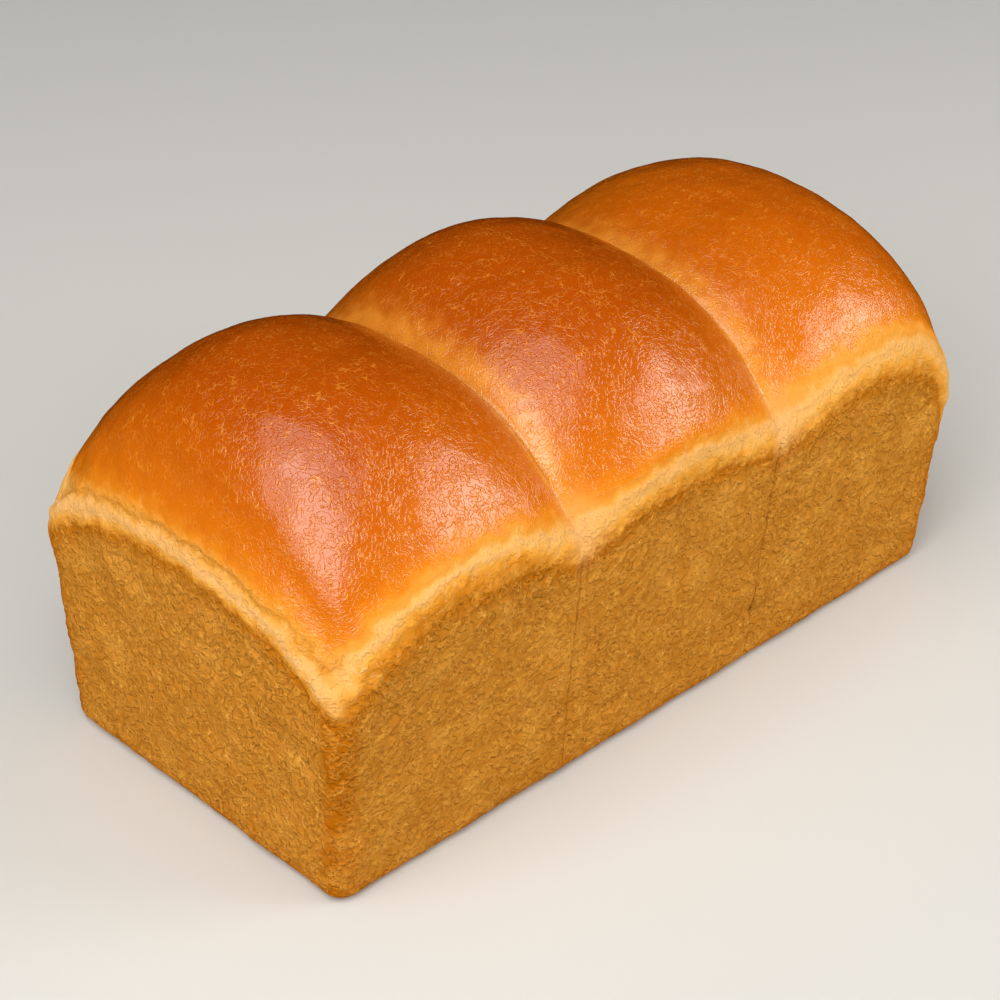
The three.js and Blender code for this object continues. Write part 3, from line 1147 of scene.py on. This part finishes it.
@dataclass(frozen=True)
class BakedTones:
    """Colours of the bake by height, at the creases and along the lip, with painted shade at the lip, in
    millimetres.

    The crown browns with its height. The crest along the long sides is higher than the lip
    at the ends, so colours start higher there, most of all on the first hump. The third hump
    is a little paler than the others: partly a lighter bake, partly painted light.
    """

    tones: tuple[Tone, ...] = (
        Tone(-9.0, 0.52, 0.207, 0.0243),
        # the dip in colour just under the lip is painted shade
        Tone(-5.2, 0.47, 0.163, 0.0119),
        Tone(-3.4, 0.58, 0.200, 0.0136),
        Tone(-1.2, 0.80, 0.365, 0.0565),
        Tone(0.8, 0.80, 0.440, 0.1320),
        Tone(2.6, 0.77, 0.380, 0.0860),
        Tone(5.0, 0.76, 0.301, 0.0384),
        Tone(7.2, 0.68, 0.199, 0.0080),
        Tone(10.5, 0.60, 0.143, 0.0030),
        Tone(20.0, 0.50, 0.103, 0.0020),
        Tone(31.0, 0.39, 0.065, 0.0010),
    )
    tone_wobble: Grain = Grain(2.2, 1.0)
    tone_wobble_height: float = 0.5
    side_drop: float = 3.5
    side_drop_eased: float = 1.9
    easing_places: Span = (-62.0, -38.0)
    side_drop_rises: Span = (-4.0, 1.0)
    regained_share: float = 0.6
    regaining_rises: Span = (4.5, 8.0)
    # paler third hump: partly a lighter bake, partly painted light
    pale_and_lit_share: float = 0.2
    pale_and_lit_places: Span = (32.0, 45.0)

    pale_yellow: Colour = (0.78, 0.31, 0.035, 1.0)
    crease_share: float = 0.7
    crease_spread: float = 5.0
    crease_near_side: float = 2.2
    crease_wobble: Grain = Grain(3.4, 3.0)
    crease_wobble_reach: float = 1.9

    cream: Colour = (0.81, 0.46, 0.20, 1.0)
    notch_share: float = 0.75
    notch_spread: float = 6.5
    notch_near_side: float = 3.0
    notch_band: Span = (2.5, 5.5)
    crest_share: float = 0.55
    crest_band: Span = (4.2, 1.0)
    crest_strength: float = 0.75
    ridge_band: Span = (1.0, 1.3)

    # brown laid as painted shade in the furrow over the lip and between the lip's hairs
    painted_lip_shade: Colour = (0.54, 0.21, 0.014, 1.0)
    furrow_rise: float = 3.5
    furrow_rise_at_side: float = 2.6
    furrow_spread: float = 0.75
    # shares of painted shade in the furrow
    furrow_shade_share: float = 0.65
    furrow_shade_lost_at_side: float = 0.4

    # brown of the tin's browned edges, also laid as painted shade in a band just under the lip
    edge_brown_and_lip_shade: Colour = (0.43, 0.120, 0.002, 1.0)
    # band of painted shade just under the lip, and its share
    under_lip_shade_band: Span = (-4.2, 1.1)
    under_lip_shade_share: float = 0.5
    edge_share: float = 0.85
    edge_wobble: Grain = Grain(5.0, 5.0)
    edge_wobble_share: float = 0.25

    def tone_colour(self, w: Wiring, rise: Socket) -> Socket:
        """Colour of the crust at a height over the shoulder.

        Args:
            w: The material's wiring.
            rise: The height.

        Returns:
            The colour.
        """
        low, high = self.tones[0].rise, self.tones[-1].rise
        share = w.node("ShaderNodeMapRange", {"Value": rise, "From Min": low, "From Max": high}).outputs[0]
        ramp = w.node("ShaderNodeValToRGB", {"Fac": share})
        stops = ramp.color_ramp.elements
        while len(stops) < len(self.tones):
            stops.new(0.5)
        for stop, tone in zip(stops, self.tones):
            stop.position = (tone.rise - low) / (high - low)
            stop.color = (tone.red, tone.green, tone.blue, 1.0)
        return ramp.outputs[0]

    def toned(self, w: Wiring) -> Socket:
        """Colour by height, set down along the long sides and by humps.

        Args:
            w: The material's wiring.

        Returns:
            The colour.
        """
        along = w.node("ShaderNodeSeparateXYZ", {"Vector": w.place()}).outputs["X"]
        ragged = w.mask(Mask.RAGGED)
        eased = w.times(w.step(along, *self.easing_places), self.side_drop_eased)
        drop = w.times(w.mask(Mask.SIDE), w.less(self.side_drop, eased))
        drop = w.times(drop, w.step(w.mask(Mask.RISE), *self.side_drop_rises))
        regained = w.times(w.step(ragged, *self.regaining_rises), self.regained_share)
        lowered = w.less(ragged, w.times(drop, w.flip(regained)))
        # the third hump is paler: partly a lighter bake, partly painted light
        paler = w.times(w.step(along, *self.pale_and_lit_places), self.pale_and_lit_share)
        wobble = w.times(w.wave(self.tone_wobble.noise(w)), self.tone_wobble_height)
        return self.tone_colour(w, w.add(w.times(lowered, w.flip(paler)), wobble))

    def with_creases(self, w: Wiring, colour: Socket) -> Socket:
        """Lays pale strips beside the creases and cream notches where they meet the shoulder.

        Args:
            w: The material's wiring.
            colour: The colour before.

        Returns:
            The colour after.
        """
        crease = w.mask(Mask.CREASE)
        shifted = w.add(crease, w.times(w.wave(self.crease_wobble.noise(w)), self.crease_wobble_reach))
        strip = w.bell(w.lopsided(shifted, self.crease_near_side), 0.0, self.crease_spread)
        strip = w.times(strip, w.flip(w.mask(Mask.WALL)), self.crease_share)
        colour = w.blend(strip, colour, self.pale_yellow)
        notch = w.bell(w.lopsided(crease, self.notch_near_side), 0.0, self.notch_spread)
        notch = w.times(notch, w.bell(w.mask(Mask.RISE), *self.notch_band))
        return w.blend(w.times(notch, self.notch_share), colour, self.cream)

    def with_lip(self, w: Wiring, colour: Socket) -> Socket:
        """Lays painted shade in the lip's furrow, its cream ridge and crest, and painted shade in a band just
        under the lip.

        Args:
            w: The material's wiring.
            colour: The colour before.

        Returns:
            The colour after.
        """
        side = w.mask(Mask.SIDE)
        ragged = w.mask(Mask.RAGGED)
        furrow_rise = w.add(self.furrow_rise, w.times(side, self.furrow_rise_at_side))
        # painted shade in the furrow over the lip
        furrow_shade_share = w.less(self.furrow_shade_share, w.times(side, self.furrow_shade_lost_at_side))
        furrow = w.times(w.bell(ragged, furrow_rise, self.furrow_spread), furrow_shade_share)
        colour = w.blend(furrow, colour, self.painted_lip_shade)
        ridge = w.times(w.flip(side), w.bell(ragged, *self.ridge_band))
        crest = w.times(side, w.bell(ragged, *self.crest_band), self.crest_strength)
        colour = w.blend(w.times(w.add(ridge, crest), self.crest_share), colour, self.cream)
        # painted shade in a band just under the lip
        hem = w.times(w.bell(ragged, *self.under_lip_shade_band), self.under_lip_shade_share)
        return w.blend(hem, colour, self.edge_brown_and_lip_shade)

    def build(self, w: Wiring) -> Socket:
        """Colour of the bake, with painted shade at the lip, before the crust's fine texture.

        Args:
            w: The material's wiring.

        Returns:
            The colour.
        """
        colour = self.with_lip(w, self.with_creases(w, self.toned(w)))
        wobble = w.times(w.wave(self.edge_wobble.noise(w)), self.edge_wobble_share)
        edge = w.times(w.mask(Mask.EDGE), w.add(self.edge_share, wobble))
        return w.blend(edge, colour, self.edge_brown_and_lip_shade)


@dataclass(frozen=True)
class CrustTexture:
    """Sockets with the parts of the crust's fine texture, each from 0 to 1."""

    wall: Socket
    shaggy: Socket
    lip: Socket
    smooth: Socket
    clump: Socket
    curls: Socket
    hairs: Socket
    strokes: Socket
    seam: Socket


@dataclass(frozen=True)
class CrustFinish:
    """Baked crust: glossy orange-brown crown, pale lip and matt tan walls.

    Walls and lip are shaggy with clumps and curls, with painted shade in the gaps between
    them. The crown is smooth, with fine hairs, pale strokes and a leathery glaze over it. Shares
    say how much of a colour is laid on, and heights are in millimetres.
    """

    bake: BakedTones = BakedTones()
    shaggy_rises: Span = (9.0, 3.5)
    clump: Grain = Grain(2.9, 15.0, 1.0)
    clump_width: float = 0.11
    curls: Fibres = Fibres(Grain(1.75, 6.0, 1.0), 0.15, Grain(2.4, 7.0), (0.34, 0.5))
    hairs: Fibres = Fibres(Grain(1.05, 10.0), 0.10, Grain(2.3, 12.0), (0.38, 0.56))
    strokes: Fibres = Fibres(Grain(1.7, 8.0), 0.06, Grain(2.6, 9.0), (0.53, 0.64))
    leather: Grain = Grain(1.2, 11.0)
    leather_width: float = 0.12
    seam_bend: Grain = Grain(18.0, 14.0, 2.0)
    seam_bend_reach: float = 0.8
    seam_spread: float = 0.27

    # brown laid as painted shade in the gaps between the walls' clumps and curls, and as the seam line's own
    # brown
    shade_and_seam_brown: Colour = (0.31, 0.095, 0.002, 1.0)
    clump_shade_share: float = 0.25
    curl_shade_share: float = 0.12
    seam_share: float = 0.5
    # share of painted shade between the lip's hairs
    lip_shade_share: float = 0.22
    lip_stroke_share: float = 0.5
    light_tan: Colour = (0.84, 0.42, 0.075, 1.0)
    light: Grain = Grain(9.0, 4.0)
    light_waves: Span = (0.0, 0.9)
    light_rises: Span = (-4.0, -9.0)
    light_share: float = 0.18
    wall_curl_share: float = 0.2
    wall_stroke_share: float = 0.45
    pale_orange: Colour = (0.75, 0.27, 0.03, 1.0)
    crown_stroke_share: float = 0.4
    crown_hair_share: float = 0.2

    curl_height: float = 0.16
    wall_curl_height: float = 0.1
    lip_curl_height: float = 0.04
    stroke_strength: float = 0.3
    lip_hair_strength: float = 0.3
    clump_height: float = 0.24
    leather_height: float = 0.036
    hair_height: float = 0.045
    stroke_height: float = 0.05
    seam_depth: float = 0.15

    roughness: float = 0.7
    base_gloss: float = 0.0
    glaze: float = 1.0
    glaze_rises: Span = (3.0, 9.0)
    glaze_side_drop: float = 3.0
    glaze_roughness: float = 0.16
    glaze_index: float = 1.6

    def seam_line(self, w: Wiring, wall: Socket) -> Socket:
        """Thin wobbling crack that runs down the walls below each crease.

        Args:
            w: The material's wiring.
            wall: The walls' mask.

        Returns:
            One on the line.
        """
        bend = w.times(w.wave(self.seam_bend.noise(w)), self.seam_bend_reach)
        line = w.bell(w.add(w.mask(Mask.CREASE), bend), 0.0, self.seam_spread)
        return w.times(line, wall, w.mask(Mask.STANDING))

    def texture(self, w: Wiring) -> CrustTexture:
        """Makes the parts of the fine texture.

        Args:
            w: The material's wiring.

        Returns:
            The parts.
        """
        wall = w.mask(Mask.WALL)
        shaggy = w.maths("MAXIMUM", wall, w.step(w.mask(Mask.RAGGED), *self.shaggy_rises))
        return CrustTexture(
            wall=wall,
            shaggy=shaggy,
            lip=w.less(shaggy, wall),
            smooth=w.flip(shaggy),
            clump=w.hills(self.clump.noise(w), self.clump_width),
            curls=self.curls.lines(w),
            hairs=self.hairs.lines(w),
            strokes=self.strokes.lines(w),
            seam=self.seam_line(w, wall),
        )

    def colour(self, w: Wiring, part: CrustTexture) -> Socket:
        """Colour of the crust with its fine texture and the painted shade in its gaps.

        Args:
            w: The material's wiring.
            part: The parts of the texture.

        Returns:
            The colour.
        """
        colour = self.bake.build(w)
        # painted shade in the gaps between the walls' clumps and curls
        clump_shade = w.times(w.flip(part.clump), self.clump_shade_share)
        gaps = w.add(clump_shade, w.times(w.flip(part.curls), self.curl_shade_share))
        colour = w.blend(w.times(part.wall, gaps), colour, self.shade_and_seam_brown)
        # painted shade between the lip's hairs
        colour = w.blend(w.times(part.lip, w.flip(part.hairs), self.lip_shade_share), colour, self.bake.painted_lip_shade)
        colour = w.blend(w.times(part.lip, part.strokes, self.lip_stroke_share), colour, self.bake.cream)
        light = w.step(w.wave(self.light.noise(w)), *self.light_waves)
        light = w.times(light, w.step(w.mask(Mask.RISE), *self.light_rises), self.light_share)
        curls = w.times(part.curls, self.wall_curl_share)
        strokes = w.times(part.strokes, self.wall_stroke_share)
        colour = w.blend(w.times(part.wall, w.add(light, curls, strokes)), colour, self.light_tan)
        strokes = w.times(part.strokes, self.crown_stroke_share)
        hairs = w.times(part.hairs, self.crown_hair_share)
        colour = w.blend(w.times(part.smooth, w.add(strokes, hairs)), colour, self.pale_orange)
        return w.blend(w.times(part.seam, self.seam_share), colour, self.shade_and_seam_brown)

    def height(self, w: Wiring, part: CrustTexture) -> Socket:
        """Height of the fine texture, too fine for the mesh.

        Args:
            w: The material's wiring.
            part: The parts of the texture.

        Returns:
            The height in millimetres.
        """
        on_wall = w.times(part.wall, self.wall_curl_height)
        strength = w.add(self.curl_height, on_wall, w.times(part.lip, self.lip_curl_height))
        lip_hairs = w.times(part.lip, part.hairs, self.lip_hair_strength)
        fibres = w.add(part.curls, w.times(part.strokes, self.stroke_strength), lip_hairs)
        clumps = w.times(part.clump, part.wall, self.clump_height)
        shag = w.add(w.times(strength, part.shaggy, fibres), clumps)
        leather = w.times(w.hills(self.leather.noise(w), self.leather_width), self.leather_height)
        hairs = w.times(part.hairs, self.hair_height)
        skin = w.times(part.smooth, w.add(leather, hairs, w.times(part.strokes, self.stroke_height)))
        return w.less(w.add(shag, skin), w.times(part.seam, self.seam_depth))

    def build(self, name: str) -> bpy.types.Material:
        """Makes the material.

        Args:
            name: Name of the material.

        Returns:
            The material.
        """
        material = bpy.data.materials.new(name)
        material.use_nodes = True
        w = Wiring(material.node_tree)
        part = self.texture(w)
        bump = w.node("ShaderNodeBump", {"Distance": MM, "Height": self.height(w, part)})
        glazed = w.less(w.mask(Mask.RAGGED), w.times(w.mask(Mask.SIDE), self.glaze_side_drop))
        feeds = {
            "Base Color": self.colour(w, part),
            "Roughness": self.roughness,
            "Specular IOR Level": self.base_gloss,
            "Coat Weight": w.times(w.step(glazed, *self.glaze_rises), self.glaze),
            "Coat Roughness": self.glaze_roughness,
            "Coat IOR": self.glaze_index,
            "Normal": bump.outputs[0],
            "Coat Normal": bump.outputs[0],
        }
        shader = material.node_tree.nodes["Principled BSDF"]
        for socket, value in feeds.items():
            w.feed(shader.inputs[socket], value)
        return material


@dataclass
class Loaf:
    """The loaf's one piece."""

    lattice: CrustLattice = field(default_factory=CrustLattice)
    masks: CrustMasks = field(default_factory=CrustMasks)
    relief: CrustRelief = field(default_factory=CrustRelief)
    finish: CrustFinish = field(default_factory=CrustFinish)

    def build(self) -> bpy.types.Object:
        """Builds the loaf's crust, hides the imported solid and hangs the crust under the root body.

        Returns:
            The finished piece.
        """
        mesh = self.lattice.build("smooth_crust")
        self.masks.write(mesh)
        piece = self.relief.raise_on(mesh, "loaf_crust", self.finish.build("baked_crust"))
        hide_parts("loaf")
        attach(piece, "root")
        return piece


@dataclass(frozen=True)
class SoftBox:
    """A soft rectangular light that faces the loaf, placed in degrees and metres."""

    name: str
    azimuth: float
    elevation: float
    distance: float
    width: float
    height: float
    radiance: float
    glossy: bool = True      # whether the glaze mirrors it
    tint: Triple = (1.0, 0.96, 0.85)

    def build(self, target: Vector) -> bpy.types.Object:
        """Makes the light.

        Args:
            target: Point that the light faces.

        Returns:
            The light's object.
        """
        lamp = bpy.data.lights.new(self.name, "AREA")
        lamp.shape = "RECTANGLE"
        lamp.size = self.width
        lamp.size_y = self.height
        lamp.energy = self.radiance * math.pi * self.width * self.height
        lamp.color = self.tint
        towards = direction(self.azimuth, self.elevation)
        light = place_object(self.name, lamp)
        light.location = target + towards * self.distance
        light.rotation_euler = towards.to_track_quat("Z", "Y").to_euler()
        light.visible_camera = False
        light.visible_glossy = self.glossy
        return light


@dataclass(frozen=True)
class Studio:
    """The floor, the lights and the camera, in metres, degrees and the lens's millimetres."""

    floor_size: float = 8.0
    floor_colour: Colour = (0.61, 0.62, 0.65, 1.0)
    floor_roughness: float = 0.85
    air_colour: Colour = (0.62, 0.60, 0.56, 1.0)
    air_strength: float = 0.1
    target: Triple = (0.0, 0.0, 0.06)
    boxes: tuple[SoftBox, ...] = (
        SoftBox("left_box", -60.0, 47.0, 1.0, 0.5, 0.7, 3.2),
        SoftBox("left_wash", -68.0, 52.0, 1.0, 1.1, 1.4, 2.1),
        SoftBox("right_box", 44.0, 24.0, 1.0, 0.36, 0.36, 2.6),
        SoftBox("right_wash", 44.0, 26.0, 1.0, 0.62, 0.58, 3.4),
        SoftBox("side_box", 20.0, 15.0, 1.2, 0.8, 0.8, 1.1, glossy=False),
        SoftBox("end_box", -95.0, 25.0, 1.2, 0.8, 0.8, 1.6, glossy=False),
        SoftBox("top_box", -20.0, 80.0, 1.4, 1.4, 1.4, 0.4, glossy=False),
    )
    camera_place: Triple = (-0.40318, -0.39191, 0.41352)
    camera_azimuth: float = -45.311
    camera_elevation: float = 33.685
    camera_roll: float = 1.601
    camera_lens: float = 101.54
    camera_sensor: float = 36.0
    camera_nearest: float = 0.01

    def build_floor(self) -> bpy.types.Object:
        """Makes the plain floor.

        Returns:
            The floor's object.
        """
        half = self.floor_size / 2.0
        mesh = bpy.data.meshes.new("floor")
        corners = [(-half, -half, 0.0), (half, -half, 0.0), (half, half, 0.0), (-half, half, 0.0)]
        mesh.from_pydata(corners, [], [(0, 1, 2, 3)])
        material = bpy.data.materials.new("floor_paint")
        material.use_nodes = True
        shader = material.node_tree.nodes["Principled BSDF"]
        shader.inputs["Base Color"].default_value = self.floor_colour
        shader.inputs["Roughness"].default_value = self.floor_roughness
        mesh.materials.append(material)
        floor = place_object("floor", mesh)
        floor.visible_glossy = False
        return floor

    def build_camera(self) -> bpy.types.Object:
        """Makes the camera and sets it as the scene's own.

        Returns:
            The camera's object.
        """
        back = direction(self.camera_azimuth, self.camera_elevation)
        right = (-back).cross(Vector((0.0, 0.0, 1.0))).normalized()
        up = right.cross(-back)
        roll = math.radians(self.camera_roll)
        side = right * math.cos(roll) + up * math.sin(roll)
        top = up * math.cos(roll) - right * math.sin(roll)
        lens = bpy.data.cameras.new("camera")
        lens.lens = self.camera_lens
        lens.sensor_width = self.camera_sensor
        lens.clip_start = self.camera_nearest
        camera = place_object("camera", lens)
        turn = Matrix((side, top, back)).transposed().to_4x4()
        camera.matrix_world = Matrix.Translation(Vector(self.camera_place)) @ turn
        bpy.context.scene.camera = camera
        return camera

    def build_air(self) -> bpy.types.World:
        """Sets the even light of the room and plain colours in the picture.

        Returns:
            The scene's world.
        """
        world = bpy.data.worlds.new("air")
        world.use_nodes = True
        background = world.node_tree.nodes["Background"]
        background.inputs["Color"].default_value = self.air_colour
        background.inputs["Strength"].default_value = self.air_strength
        world.cycles_visibility.glossy = False
        bpy.context.scene.world = world
        bpy.context.scene.view_settings.view_transform = "Standard"
        return world

    def build(self) -> list[bpy.types.Object]:
        """Builds everything round the loaf.

        Returns:
            The camera, the floor and the lights.
        """
        camera = self.build_camera()
        self.build_air()
        floor = self.build_floor()
        lights = [box.build(Vector(self.target)) for box in self.boxes]
        return [camera, floor, *lights]


def main() -> None:
    """Builds the studio and the loaf, and logs what it made."""
    logging.basicConfig(level=logging.INFO, format="%(message)s")
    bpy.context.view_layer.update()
    for each in Studio().build():
        LOG.info("%s: %s", each.name, each.type.lower())
    piece = Loaf().build()
    LOG.info("%s: %d faces", piece.name, len(piece.data.polygons))


if __name__ == "__main__":
    main()
